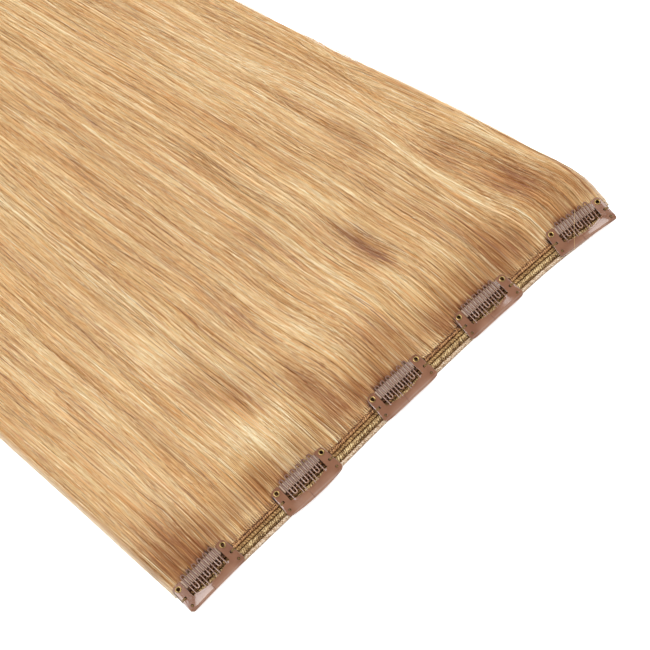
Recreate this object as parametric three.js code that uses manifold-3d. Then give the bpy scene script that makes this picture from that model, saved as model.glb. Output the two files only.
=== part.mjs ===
// Clip-in hair extension: one wide weft of straight hair with snap comb clips sewn along it.
// Millimetres, +Z up. It lies flat with its clips up, as on a table. X runs along the weft and
// +Y towards the hair's tips. The origin is on the table under the middle of the weft.

import * as THREE from 'three';
import { mergeVertices } from 'three/addons/utils/BufferGeometryUtils.js';
import Module from 'manifold-3d';

// Driving sizes of the weft and the hair.
const weftLength = 275;
const hairLength = 400;
const weftThickness = 3.1;
const middleRowWidth = 2.6;
const innerRowWidth = 1.7;
const edgeRowWidth = 1.9;
const rowGap = 0.3;
const hairThickness = 9;
const lockCount = 14;

// Driving sizes of one snap clip. Its eyelets sit on a line along the clip, from which its
// depths are measured.
const clipCount = 5;
const clipInset = 0.5;
const eyeletSpacing = 28;
const eyeletLineFromWeft = 7.8;
const plateThickness = 0.5;
const plateBow = 1.1;
const tabMargin = 1.9;
const tabHead = 2.2;
const tabSplay = 1;
const bandWidth = 4.2;
const bandArch = 1.6;
const bandFromEyelets = 6.9;
const lapHeight = 0.18;
const tabInset = 2.685;
const slotWidth = 1.55;
const combGroups = 3;
const legsPerGroup = 4;
const wireWidth = 0.5;
const combReach = 3.7;
const combRoot = 0.6;
const hingeGap = 0.3;
const barWidth = 2.6;
const barThickness = 0.4;
const sleeveWidth = 3.8;
const sleeveHeight = 1.4;
const sleeveWall = 0.35;
const eyeletBore = 0.65;
const eyeletRadius = 0.9;
const eyeletFlange = 1.4;
const sewingHoleRadius = 0.75;

// Gap kept between pieces that touch on the real thing.
const seatGap = 0.3;

// Where each clip sits: shift along the weft as a share of the clip pitch, and its own turn.
const clipPlaces = [
  { shift: -0.014, turnDeg: 1.8 },
  { shift: 0.005, turnDeg: -1.3 },
  { shift: 0.042, turnDeg: -1.1 },
  { shift: -0.016, turnDeg: -0.1 },
  { shift: -0.026, turnDeg: -3.8 },
];

// The weft lies in a slight curve. Along is a share of half the weft, drift of its length.
const weftBend = [
  { along: -1, drift: -0.0122 },
  { along: -0.44, drift: -0.0072 },
  { along: 0, drift: 0 },
  { along: 0.44, drift: 0.0022 },
  { along: 0.87, drift: -0.0058 },
  { along: 1, drift: -0.0115 },
];

// Where the hair runs, seen from above. Along is a share of its length; the other columns are
// the places of five strands, as shares of the weft's length.
const hairSpread = [
  { along: 0, left: -0.5, midLeft: -0.25, middle: 0, midRight: 0.25, right: 0.5 },
  { along: 0.04, left: -0.504, midLeft: -0.253, middle: -0.004, midRight: 0.245, right: 0.503 },
  { along: 0.12, left: -0.511, midLeft: -0.264, middle: -0.018, midRight: 0.23, right: 0.474 },
  { along: 0.25, left: -0.529, midLeft: -0.285, middle: -0.052, midRight: 0.191, right: 0.417 },
  { along: 0.46, left: -0.555, midLeft: -0.319, middle: -0.102, midRight: 0.12, right: 0.31 },
  { along: 0.7, left: -0.58, midLeft: -0.358, middle: -0.156, midRight: 0.042, right: 0.222 },
  { along: 1, left: -0.6, midLeft: -0.402, middle: -0.212, midRight: -0.035, right: 0.14 },
];

// How deep the hair lies past the clips' combs, as a share of its thickness.
const hairSwell = [
  { along: 0.035, depth: 0.78 },
  { along: 0.1, depth: 1 },
  { along: 0.26, depth: 0.93 },
  { along: 0.45, depth: 0.87 },
  { along: 0.65, depth: 0.74 },
  { along: 0.82, depth: 0.55 },
  { along: 0.93, depth: 0.36 },
];

// Four kinds of lock, used in turn. Sway is a share of the lock's width, the rest are shares
// of the hair's length, thickness and the lock's own wave.
const lockKinds = [
  { length: 1, depth: 1, sway: 0.1, phase: 0 },
  { length: 0.972, depth: 0.9, sway: 0.07, phase: 0.35 },
  { length: 0.99, depth: 0.96, sway: 0.12, phase: 0.6 },
  { length: 0.96, depth: 0.87, sway: 0.08, phase: 0.15 },
];
const lockOverlap = 1.36;
const lockWaves = 2.2;
const lockTipWidth = 0.62;
const lockTipDepth = 0.14;
const edgeDepth = 0.8;
const backingLength = 0.86;
const backingDepth = 0.5;

// Heights and widths worked out from the driving sizes.
const tabInner = eyeletSpacing / 2 - tabInset;
const combHalf = tabInner - slotWidth;
const notchX = combHalf + hingeGap;
const legPitch = (2 * combHalf - wireWidth) / (combGroups * legsPerGroup - 1);
const tabOuter = eyeletSpacing / 2 + tabMargin;
const bowHalf = tabOuter + tabSplay;
const bowAt = (x) => plateBow * (1 - (x / bowHalf) ** 2);
const tabSlope = 2 * plateBow * notchX / bowHalf ** 2;
const tabRiseAt = (x) => bowAt(notchX) - tabSlope * (Math.abs(x) - notchX);
const plateBottom = weftThickness + seatGap - tabRiseAt(bowHalf);
const sleeveTop = plateBottom + bowAt(combHalf) - seatGap;
const sleeveBottom = sleeveTop - sleeveHeight;
const hairRootDepth = sleeveBottom - seatGap;
const combTipDepth = plateBottom + bowAt(combHalf) - seatGap;

const bandInner = (x) => -bandFromEyelets - bandArch * (1 - (x / combHalf) ** 2);
const bandOuter = (x) => (
  -bandFromEyelets - bandArch - bandWidth * (1 - 0.22 * (x / bowHalf) ** 2)
);
const frameInner = (x) => bandInner(Math.min(Math.abs(x), combHalf)) - combRoot - hingeGap;

const paint = new THREE.MeshStandardMaterial({ color: 0xa5735c, roughness: 0.35, metalness: 0.3 });
const barPaint = new THREE.MeshStandardMaterial({ color: 0x8f6450, roughness: 0.45, metalness: 0.3 });
const silicone = new THREE.MeshStandardMaterial({ color: 0xbea59b, roughness: 0.4, metalness: 0 });
const brass = new THREE.MeshStandardMaterial({ color: 0xc8aa5a, roughness: 0.3, metalness: 1 });
const hairFinish = new THREE.MeshStandardMaterial({ color: 0xd2a76c, roughness: 0.45, metalness: 0 });
const wovenThread = new THREE.MeshStandardMaterial({ color: 0xc9b184, roughness: 0.8, metalness: 0 });

const wasm = await Module();
wasm.setup();

// Gives the value of a table's column at a share of its run, on a smooth curve.
function readTable(rows, column) {
  const stations = rows.map((row) => row.along);
  const curve = new THREE.CubicInterpolant(stations, rows.map((row) => row[column]), 1);
  return (share) => curve.evaluate(THREE.MathUtils.clamp(share, stations[0], stations.at(-1)))[0];
}

// Makes a closed body from corner points and triangles, with its faces turned outwards.
function closedBody(points, triangles) {
  const [a, b, c] = [new THREE.Vector3(), new THREE.Vector3(), new THREE.Vector3()];
  let volume = 0;
  for (const [i, j, k] of triangles) {
    volume += a.copy(points[i]).dot(b.copy(points[j]).cross(c.copy(points[k])));
  }
  const faces = volume < 0 ? triangles.map(([i, j, k]) => [k, j, i]) : triangles;
  const geometry = new THREE.BufferGeometry();
  const coordinates = points.flatMap((point) => point.toArray());
  geometry.setAttribute('position', new THREE.Float32BufferAttribute(coordinates, 3));
  geometry.setIndex(faces.flat());
  geometry.computeVertexNormals();
  return geometry;
}

// Joins rings of points, each with as many points as the last, into a closed body. A ring goes
// out along one side and back along the other, so its two ends close like a ladder.
function loft(rings) {
  const size = rings[0].length;
  const triangles = [];
  for (let ring = 0; ring + 1 < rings.length; ring += 1) {
    for (let i = 0; i < size; i += 1) {
      const next = (i + 1) % size;
      const [low, high] = [ring * size, (ring + 1) * size];
      triangles.push([low + i, low + next, high + next], [low + i, high + next, high + i]);
    }
  }
  const last = (rings.length - 1) * size;
  for (let i = 0; i + 1 < size / 2; i += 1) {
    const [near, far] = [size - 1 - i, size - 2 - i];
    triangles.push([i, far, i + 1], [i, near, far]);
    triangles.push([last + i, last + i + 1, last + far], [last + i, last + far, last + near]);
  }
  return closedBody(rings.flat(), triangles);
}

// Stamps sheet metal: flat cells that share their edges become one plate that follows a height.
function stampedPlate(cells, thickness, heightAt) {
  const corners = [];
  const found = new Map();
  const cornerIndex = (point) => {
    const key = `${Math.round(point.x * 1e4)},${Math.round(point.y * 1e4)}`;
    if (!found.has(key)) {
      found.set(key, corners.length);
      corners.push(point);
    }
    return found.get(key);
  };
  const faces = [];
  for (const { outline, holes = [] } of cells) {
    const rim = THREE.ShapeUtils.isClockWise(outline) ? [...outline].reverse() : outline;
    const cuts = holes.map((hole) => (THREE.ShapeUtils.isClockWise(hole) ? hole : [...hole].reverse()));
    const all = [rim, ...cuts].flat().map(cornerIndex);
    for (const face of THREE.ShapeUtils.triangulateShape(rim, cuts)) {
      faces.push(face.map((i) => all[i]));
    }
  }
  const edges = new Set(faces.flatMap(([i, j, k]) => [`${i},${j}`, `${j},${k}`, `${k},${i}`]));
  const under = corners.length;
  const triangles = faces.flatMap(([i, j, k]) => [[i, j, k], [k + under, j + under, i + under]]);
  for (const edge of edges) {
    const [i, j] = edge.split(',').map(Number);
    if (!edges.has(`${j},${i}`)) {
      triangles.push([j, i, i + under], [j, i + under, j + under]);
    }
  }
  const lift = (p, extra) => new THREE.Vector3(p.x, p.y, heightAt(p.x, p.y) + extra);
  const points = [...corners.map((p) => lift(p, thickness)), ...corners.map((p) => lift(p, 0))];
  return closedBody(points, triangles);
}

function circle(x, y, radius, sides) {
  const points = [];
  for (let i = 0; i < sides; i += 1) {
    const angle = 2 * Math.PI * (i + 0.5) / sides;
    points.push(new THREE.Vector2(x + radius * Math.cos(angle), y + radius * Math.sin(angle)));
  }
  return points;
}

// Rounds the corners of an outline whose points carry the corner's size.
function softOutline(corners) {
  const steps = 4;
  return corners.flatMap((corner, i) => {
    if (!corner.soft) {
      return [new THREE.Vector2(corner.x, corner.y)];
    }
    const here = new THREE.Vector2(corner.x, corner.y);
    const towards = (other) => here.clone().add(
      new THREE.Vector2(other.x, other.y).sub(here).setLength(corner.soft));
    const from = towards(corners.at(i - 1));
    const to = towards(corners[(i + 1) % corners.length]);
    return new THREE.QuadraticBezierCurve(from, here, to).getPoints(steps);
  });
}

const mirrored = (outline) => outline.map((p) => new THREE.Vector2(-p.x, p.y)).reverse();
const evenly = (from, to, steps) => (
  Array.from({ length: steps + 1 }, (_, i) => from + (to - from) * i / steps)
);

// Frame of a clip: two flat end tabs and the arched band, whose halves lap near the middle.
function clipFrame() {
  const seamX = -0.085 * eyeletSpacing;
  const seamRun = 0.12;
  const stations = [
    ...evenly(-notchX, seamX, 3),
    ...evenly(seamX + seamRun, notchX, 5),
  ];
  const lapRun = notchX - seamX - seamRun;
  const lapAt = (x) => (x <= seamX ? 0 : lapHeight * (1 - Math.max(0, x - seamX - seamRun) / lapRun));
  const heightAt = (x) => (Math.abs(x) > notchX - 1e-6 ? tabRiseAt(x) : bowAt(x) + lapAt(x));
  const band = stations.slice(1).map((x, i) => ({
    outline: [
      new THREE.Vector2(stations[i], bandOuter(stations[i])),
      new THREE.Vector2(x, bandOuter(x)),
      new THREE.Vector2(x, frameInner(x)),
      new THREE.Vector2(stations[i], frameInner(stations[i])),
    ],
  }));
  const footX = (notchX + bowHalf) / 2;
  const slotSoft = 0.45 * (tabInner - notchX);
  const tab = softOutline([
    { x: notchX, y: bandOuter(notchX) },
    { x: footX, y: bandOuter(footX) },
    { x: bowHalf, y: bandOuter(bowHalf), soft: 0.5 * bandWidth },
    { x: tabOuter, y: tabHead, soft: tabMargin },
    { x: tabInner, y: tabHead, soft: 0.4 * tabMargin },
    { x: tabInner + 0.2 * tabSplay, y: -bandFromEyelets, soft: slotSoft },
    { x: notchX, y: -bandFromEyelets },
    { x: notchX, y: frameInner(notchX) },
  ]);
  const halfSpan = eyeletSpacing / 2;
  const holes = [
    circle(halfSpan, 0, eyeletRadius + seatGap, 10),
    circle(halfSpan + 0.5 * tabSplay, -0.72 * bandFromEyelets, sewingHoleRadius, 8),
    circle(halfSpan + 0.7 * tabSplay, -bandFromEyelets - 0.62 * bandWidth, sewingHoleRadius, 8),
  ];
  const tabs = [
    { outline: tab, holes },
    { outline: mirrored(tab), holes: holes.map(mirrored) },
  ];
  return stampedPlate([...band, ...tabs], plateThickness, (x) => plateBottom + heightAt(x));
}

// Comb of a clip: a root strip along the band, and legs bent from it in groups of four, each
// an M of flat wire with two rounded tips and a U between them.
function clipComb() {
  const half = wireWidth / 2;
  const turn = legPitch / 2;
  const tipY = combReach - half - turn;
  const bendY = -0.77 * bandFromEyelets + turn;
  const arcSteps = 5;
  const rootStations = new Set();
  const cells = [];
  const firstLeg = wireWidth / 2 - combHalf;
  for (let group = 0; group < combGroups; group += 1) {
    const legX = evenly(0, legsPerGroup - 1, legsPerGroup - 1).map((leg) => (
      firstLeg + (group * legsPerGroup + leg) * legPitch
    ));
    const left = [];
    const right = [];
    const step = (x, y, acrossX, acrossY) => {
      left.push(new THREE.Vector2(x - acrossX, y - acrossY));
      right.push(new THREE.Vector2(x + acrossX, y + acrossY));
    };
    const arc = (centreX, centreY, side) => {
      for (let i = 0; i <= arcSteps; i += 1) {
        const angle = Math.PI * (1 - i / arcSteps);
        const [c, s] = [Math.cos(angle), side * Math.sin(angle)];
        step(centreX + turn * c, centreY + turn * s, -side * half * c, -side * half * s);
      }
    };
    const plant = (x, acrossX) => {
      const ends = [x - acrossX, x + acrossX];
      ends.forEach((end) => rootStations.add(Number(end.toFixed(5))));
      left.push(new THREE.Vector2(ends[0], bandInner(ends[0])));
      right.push(new THREE.Vector2(ends[1], bandInner(ends[1])));
    };
    plant(legX[0], half);
    arc((legX[0] + legX[1]) / 2, tipY, 1);
    arc((legX[1] + legX[2]) / 2, bendY, -1);
    arc((legX[2] + legX[3]) / 2, tipY, 1);
    plant(legX[3], -half);
    for (let i = 0; i + 1 < left.length; i += 1) {
      cells.push({ outline: [left[i], right[i], right[i + 1], left[i + 1]] });
    }
  }
  const stations = [...rootStations].sort((a, b) => a - b);
  for (let i = 0; i + 1 < stations.length; i += 1) {
    const [from, to] = [stations[i], stations[i + 1]];
    cells.push({
      outline: [
        new THREE.Vector2(from, bandInner(from) - combRoot),
        new THREE.Vector2(to, bandInner(to) - combRoot),
        new THREE.Vector2(to, bandInner(to)),
        new THREE.Vector2(from, bandInner(from)),
      ],
    });
  }
  return stampedPlate(cells, plateThickness, (x) => plateBottom + bowAt(x));
}

// Rear bar of a clip: a flat strip under both tabs, jogged up at its riveted ends.
const sleeveHalf = tabInner - seatGap;
const jogX = sleeveHalf + 0.15;
const jogRun = 0.45;
const barBottom = sleeveBottom + (sleeveHeight - barThickness) / 2;
const barEndTop = plateBottom + tabRiseAt(eyeletSpacing / 2) - seatGap;
const barEndLift = barEndTop - barThickness - barBottom;

function clipRearBar() {
  const half = barWidth / 2;
  const cell = (from, to) => ({
    outline: [
      new THREE.Vector2(from, -half),
      new THREE.Vector2(to, -half),
      new THREE.Vector2(to, half),
      new THREE.Vector2(from, half),
    ],
  });
  const end = softOutline([
    { x: jogX + jogRun, y: -half },
    { x: eyeletSpacing / 2 + half, y: -half, soft: 0.9 * half },
    { x: eyeletSpacing / 2 + half, y: half, soft: 0.9 * half },
    { x: jogX + jogRun, y: half },
  ]);
  const hole = circle(eyeletSpacing / 2, 0, (eyeletRadius + half) / 2, 8);
  const cells = [
    cell(-jogX - jogRun, -jogX),
    cell(-jogX, jogX),
    cell(jogX, jogX + jogRun),
    { outline: end, holes: [hole] },
    { outline: mirrored(end), holes: [mirrored(hole)] },
  ];
  const liftAt = (x) => barEndLift * THREE.MathUtils.clamp((Math.abs(x) - jogX) / jogRun, 0, 1);
  return stampedPlate(cells, barThickness, (x) => barBottom + liftAt(x));
}

// Silicone sleeve of a clip: a flattened tube over the rear bar, on which the comb grips.
function clipSleeve() {
  const [halfWidth, halfHeight] = [sleeveWidth / 2, sleeveHeight / 2];
  const [boreWidth, boreHeight] = [halfWidth - sleeveWall, halfHeight - sleeveWall];
  const soft = 0.6 * halfHeight;
  const rim = softOutline([
    { x: -halfHeight, y: -halfWidth, soft },
    { x: halfHeight, y: -halfWidth, soft },
    { x: halfHeight, y: halfWidth, soft },
    { x: -halfHeight, y: halfWidth, soft },
  ]);
  const section = new THREE.Shape(rim);
  section.holes.push(new THREE.Path([
    new THREE.Vector2(-boreHeight, -boreWidth),
    new THREE.Vector2(-boreHeight, boreWidth),
    new THREE.Vector2(boreHeight, boreWidth),
    new THREE.Vector2(boreHeight, -boreWidth),
  ]));
  const sleeve = new THREE.ExtrudeGeometry(section, { depth: 2 * sleeveHalf, bevelEnabled: false });
  sleeve.translate(0, 0, -sleeveHalf);
  sleeve.rotateY(Math.PI / 2);
  sleeve.translate(0, 0, (sleeveTop + sleeveBottom) / 2);
  return sleeve;
}

// Eyelet of a clip: a brass tube rivet through a tab and the bar's end, flanged at both ends.
function clipEyelet() {
  const flangeThickness = 0.22;
  const top = plateBottom + tabRiseAt(eyeletSpacing / 2) + plateThickness + seatGap;
  const bottom = barEndTop - barThickness - 0.5 * seatGap;
  const profile = [
    [eyeletBore, bottom - flangeThickness],
    [eyeletFlange, bottom - flangeThickness],
    [eyeletFlange, bottom],
    [eyeletRadius, bottom],
    [eyeletRadius, top],
    [eyeletFlange, top],
    [0.8 * eyeletFlange, top + flangeThickness],
    [eyeletBore, top + flangeThickness],
    [eyeletBore, bottom - flangeThickness],
  ].map(([radius, height]) => new THREE.Vector2(radius, height));
  const eyelet = new THREE.LatheGeometry(profile, 10);
  eyelet.rotateX(Math.PI / 2);
  return eyelet;
}

// The weft's line on the table, and its direction there.
const weftDrift = readTable(weftBend, 'drift');
const weftY = (x) => weftLength * weftDrift(2 * x / weftLength);
const weftTurn = (x) => Math.atan2(weftY(x + 1) - weftY(x - 1), 2);

// One sewn row of the weft: a strip of rounded section that follows the weft's line.
function weftRow(centre, width, height) {
  const stations = evenly(-weftLength / 2, weftLength / 2, 18);
  const section = [
    [-0.5, 0],
    [-0.5, 0.62],
    [-0.3, 1],
    [0.3, 1],
    [0.5, 0.62],
    [0.5, 0],
  ];
  return loft(stations.map((x) => section.map(([across, up]) => (
    new THREE.Vector3(x, weftY(x) + centre + across * width, up * height)
  ))));
}

// The hair's root edge lies just past the inner row.
const rootEdge = middleRowWidth / 2 + rowGap + innerRowWidth + seatGap;
const clipReach = eyeletLineFromWeft + Math.max(combReach, sleeveWidth / 2) + seatGap - rootEdge;
const sleeveReach = eyeletLineFromWeft + sleeveWidth / 2 + seatGap - rootEdge;
const spreadColumns = ['left', 'midLeft', 'middle', 'midRight', 'right'];
const spreadCurves = spreadColumns.map((column) => readTable(hairSpread, column));

// Place of a strand across the hair, from -1 at the left edge to 1 at the right, at a share
// of the hair's length.
function strandX(across, along) {
  const places = spreadCurves.map((curve) => curve(along));
  const curve = new THREE.CubicInterpolant([-1, -0.5, 0, 0.5, 1], places, 1);
  return weftLength * curve.evaluate(across)[0];
}

// Stations of the hair along its length, each a distance from its root and its depth there.
function hairStations(length, thickness) {
  const past = length - clipReach;
  return [
    { distance: 0, depth: hairRootDepth },
    { distance: sleeveReach, depth: hairRootDepth },
    { distance: clipReach, depth: combTipDepth - seatGap },
    ...hairSwell.map(({ along, depth }) => (
      { distance: clipReach + along * past, depth: depth * thickness }
    )),
    { distance: length, depth: lockTipDepth * thickness },
  ];
}

// Place in Y of a point of the hair, from where its strand leaves the weft. The weft's curve
// dies out by the middle of the hair.
const strandY = (rootX, distance) => (
  rootEdge + distance + weftY(rootX) * Math.max(0, 1 - 2 * distance / hairLength)
);

// One lock: a strip with a flat underside and a rounded back that sways a little, and thins to
// its own tip. It laps over its neighbours, and its section's points go round from its left
// edge over the back to its right one.
function hairLock(index) {
  const kind = lockKinds[index % lockKinds.length];
  const across = -1 + (2 * index + 1) / lockCount;
  const outerSide = Number(index === lockCount - 1) - Number(index === 0);
  const thickness = hairThickness * kind.depth * (outerSide ? edgeDepth : 1);
  const reachAt = (along, side) => {
    const lap = side === outerSide ? 1 : lockOverlap;
    return lap * side * (strandX(across + side / lockCount, along) - strandX(across, along));
  };
  const rings = hairStations(hairLength * kind.length, thickness).map(({ distance, depth }) => {
    const along = distance / hairLength;
    const sway = Math.sin(2 * Math.PI * (lockWaves * along + kind.phase)) * Math.min(1, 5 * along);
    const tipShare = Math.max(0, along - backingLength) / (1 - backingLength);
    const narrow = THREE.MathUtils.lerp(1, lockTipWidth, tipShare);
    return evenly(Math.PI, 0, 5).map((angle) => {
      const [side, reach] = [Math.sign(Math.cos(angle)), Math.cos(angle)];
      const swayed = outerSide ? 0 : kind.sway * sway * reachAt(along, 1);
      const x = strandX(across, along) + swayed + reach * narrow * reachAt(along, side);
      const y = strandY(strandX(across, 0) + reach * reachAt(0, side), distance);
      return new THREE.Vector3(x, y, depth * Math.sin(angle));
    });
  });
  return loft(rings);
}

// The backing that carries the locks: a flat sheet of hair under all of them.
function hairBacking() {
  const reach = backingLength * hairLength;
  const stations = hairStations(hairLength, hairThickness).filter(({ distance }) => distance < reach);
  const columns = evenly(-1, 1, 8).map((across) => across * (1 - 0.5 / lockCount));
  const rings = stations.map(({ distance, depth }) => {
    const along = distance / hairLength;
    const row = columns.map((across) => (
      new THREE.Vector2(strandX(across, along), strandY(strandX(across, 0), distance))
    ));
    const top = row.map((p) => new THREE.Vector3(p.x, p.y, backingDepth * depth));
    const floor = row.map((p) => new THREE.Vector3(p.x, p.y, 0)).reverse();
    return [...top, ...floor];
  });
  return loft(rings);
}

function toSolid(geometry) {
  geometry.deleteAttribute('normal');
  const merged = mergeVertices(geometry, 1e-5);
  return new wasm.Manifold(new wasm.Mesh({
    numProp: 3,
    vertProperties: new Float32Array(merged.attributes.position.array),
    triVerts: new Uint32Array(merged.index.array),
  }));
}

function hairBody() {
  let solid = toSolid(hairBacking());
  for (let index = 0; index < lockCount; index += 1) {
    solid = solid.add(toSolid(hairLock(index)));
  }
  const mesh = solid.getMesh();
  const geometry = new THREE.BufferGeometry();
  geometry.setAttribute('position', new THREE.Float32BufferAttribute(mesh.vertProperties, 3));
  geometry.setIndex(new THREE.Uint32BufferAttribute(mesh.triVerts, 1));
  geometry.computeVertexNormals();
  return geometry;
}

function named(name, geometry, material) {
  const mesh = new THREE.Mesh(geometry, material);
  mesh.name = name;
  return mesh;
}

const extension = new THREE.Group();

extension.add(named('hair', hairBody(), hairFinish));

const innerRowAt = middleRowWidth / 2 + rowGap + innerRowWidth / 2;
const edgeRowAt = -(middleRowWidth / 2 + rowGap + edgeRowWidth / 2);
const innerRow = weftRow(innerRowAt, innerRowWidth, 0.92 * weftThickness);
const middleRow = weftRow(0, middleRowWidth, weftThickness);
const edgeRow = weftRow(edgeRowAt, edgeRowWidth, 0.86 * weftThickness);
extension.add(named('weft_row_inner', innerRow, wovenThread));
extension.add(named('weft_row_middle', middleRow, wovenThread));
extension.add(named('weft_row_edge', edgeRow, wovenThread));

const clipPitch = (weftLength - 2 * (bowHalf + clipInset)) / (clipCount - 1);
for (let index = 0; index < clipCount; index += 1) {
  const place = clipPlaces[index % clipPlaces.length];
  const x = (index - (clipCount - 1) / 2 + place.shift) * clipPitch;
  const clip = new THREE.Group();
  clip.position.set(x, weftY(x), 0);
  clip.rotation.z = weftTurn(x) + THREE.MathUtils.degToRad(place.turnDeg);
  const onEyeletLine = new THREE.Group();
  onEyeletLine.position.y = eyeletLineFromWeft;
  clip.add(onEyeletLine);
  const name = `clip_${index + 1}`;
  onEyeletLine.add(named(`${name}_frame`, clipFrame(), paint));
  onEyeletLine.add(named(`${name}_comb`, clipComb(), paint));
  onEyeletLine.add(named(`${name}_rear_bar`, clipRearBar(), barPaint));
  onEyeletLine.add(named(`${name}_silicone_sleeve`, clipSleeve(), silicone));
  for (const [side, sign] of [['left', -1], ['right', 1]]) {
    const eyelet = named(`${name}_eyelet_${side}`, clipEyelet(), brass);
    eyelet.position.x = sign * eyeletSpacing / 2;
    onEyeletLine.add(eyelet);
  }
  extension.add(clip);
}

export default extension;
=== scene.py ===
import math

import bpy
import numpy as np
from mathutils import Matrix, Vector


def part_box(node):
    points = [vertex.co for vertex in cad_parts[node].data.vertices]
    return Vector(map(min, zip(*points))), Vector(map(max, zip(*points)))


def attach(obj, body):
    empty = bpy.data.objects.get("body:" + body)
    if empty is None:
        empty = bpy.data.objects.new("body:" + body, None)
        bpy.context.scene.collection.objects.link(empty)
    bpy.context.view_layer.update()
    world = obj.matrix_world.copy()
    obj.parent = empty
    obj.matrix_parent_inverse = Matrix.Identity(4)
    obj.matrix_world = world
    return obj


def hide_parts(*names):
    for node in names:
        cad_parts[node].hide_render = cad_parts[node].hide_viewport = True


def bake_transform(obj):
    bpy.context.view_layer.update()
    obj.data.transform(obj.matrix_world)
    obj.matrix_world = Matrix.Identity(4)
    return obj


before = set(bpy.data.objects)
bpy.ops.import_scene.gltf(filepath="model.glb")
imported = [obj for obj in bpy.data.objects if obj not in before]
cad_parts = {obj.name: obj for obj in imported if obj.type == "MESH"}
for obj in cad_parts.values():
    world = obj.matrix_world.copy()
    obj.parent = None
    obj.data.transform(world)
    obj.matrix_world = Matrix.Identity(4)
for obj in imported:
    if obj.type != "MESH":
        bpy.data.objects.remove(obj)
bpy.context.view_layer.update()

mm = 0.001


# The hair: straight golden-blonde strands, sewn into the weft at one end and cut loose at the
# other. A body of combed hair carries them, swelling behind the clips and thinning to its tips.
weft_length = 275.0
hair_length = 400.0
root_edge = 3.6


def smooth_curve(stations, values):
    """A cubic curve through the values, read at any place along the stations."""
    stations, values = np.array(stations, float), np.array(values, float)
    slopes = np.gradient(values, stations)

    def read(place):
        place = np.clip(place, stations[0], stations[-1])
        i = np.clip(np.searchsorted(stations, place) - 1, 0, len(stations) - 2)
        step = stations[i + 1] - stations[i]
        t = (place - stations[i]) / step
        rise = values[i + 1] - values[i]
        a = slopes[i] * step - rise
        b = rise - slopes[i + 1] * step
        return values[i] + t * rise + t * (1 - t) * (a * (1 - t) + b * t)

    return read


spread_along = (0, 0.04, 0.12, 0.25, 0.46, 0.7, 1)
spread_columns = (
    (-0.502, -0.507, -0.516, -0.532, -0.557, -0.58, -0.6),
    (-0.25, -0.253, -0.264, -0.285, -0.319, -0.358, -0.402),
    (0, -0.004, -0.018, -0.052, -0.102, -0.156, -0.212),
    (0.25, 0.245, 0.23, 0.191, 0.12, 0.042, -0.035),
    (0.503, 0.508, 0.477, 0.419, 0.311, 0.222, 0.14),
)
spread_curves = [smooth_curve(spread_along, column) for column in spread_columns]
spread_shares = [smooth_curve((-1, -0.5, 0, 0.5, 1), unit) for unit in np.eye(5)]
weft_drift = smooth_curve(
    (-1, -0.44, 0, 0.44, 0.68, 0.87, 1), (-0.0122, -0.0072, 0, 0.0022, 0.0012, -0.0058, -0.0115),
)


def strand_x(across, distance):
    along = distance / hair_length
    return weft_length * sum(share(across) * curve(along) for share, curve in zip(spread_shares, spread_curves))


def weft_y(x):
    return weft_length * weft_drift(2 * x / weft_length)


def strand_y(across, distance):
    root = weft_length * sum(share(across) * column[0] for share, column in zip(spread_shares, spread_columns))
    return root_edge + distance + weft_y(root) * np.maximum(0, 1 - 2 * distance / hair_length)


def ripple(seed, cell_x, cell_y):
    """Soft random waves over the hair, from -1 to 1, as wide and as long as the cells."""
    grid = np.random.default_rng(seed).uniform(-1, 1, (96, 96))

    def read(x, y):
        u, v = (x + 400) / cell_x, (y + 60) / cell_y
        i, j = np.floor(u).astype(int), np.floor(v).astype(int)
        s, t = u - i, v - j
        s, t = s * s * (3 - 2 * s), t * t * (3 - 2 * t)
        at = lambda p, q: grid[(i + p) % 96, (j + q) % 96]
        low = at(0, 0) * (1 - s) + at(1, 0) * s
        high = at(0, 1) * (1 - s) + at(1, 1) * s
        return low * (1 - t) + high * t

    return read


clips = []
for number in range(1, 6):
    left, right = [
        sum(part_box(f"clip_{number}_eyelet_{side}"), Vector()) / 2 for side in ("left", "right")
    ]
    middle = (left + right) / 2
    turn = math.atan2(right.y - left.y, right.x - left.x)
    clips.append((number, middle.x / mm, middle.y / mm, turn))

hair_depth = smooth_curve(
    (0, 10, 18, 28, 47, 110, 184, 263, 330, 372, 400),
    (2.4, 3.7, 5.1, 6.6, 7.6, 7.2, 6.7, 5.8, 4.3, 2.9, 1.0),
)
clip_depth = smooth_curve((0, 6.4, 9, 14, 20, 28, 47), (1.8, 1.8, 2.4, 4.0, 5.9, 7.3, 7.6))
swell_waves = ripple(3, 46, 62)
lock_waves = ripple(5, 13, 120)
fine_waves = ripple(9, 4.2, 60)
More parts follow.
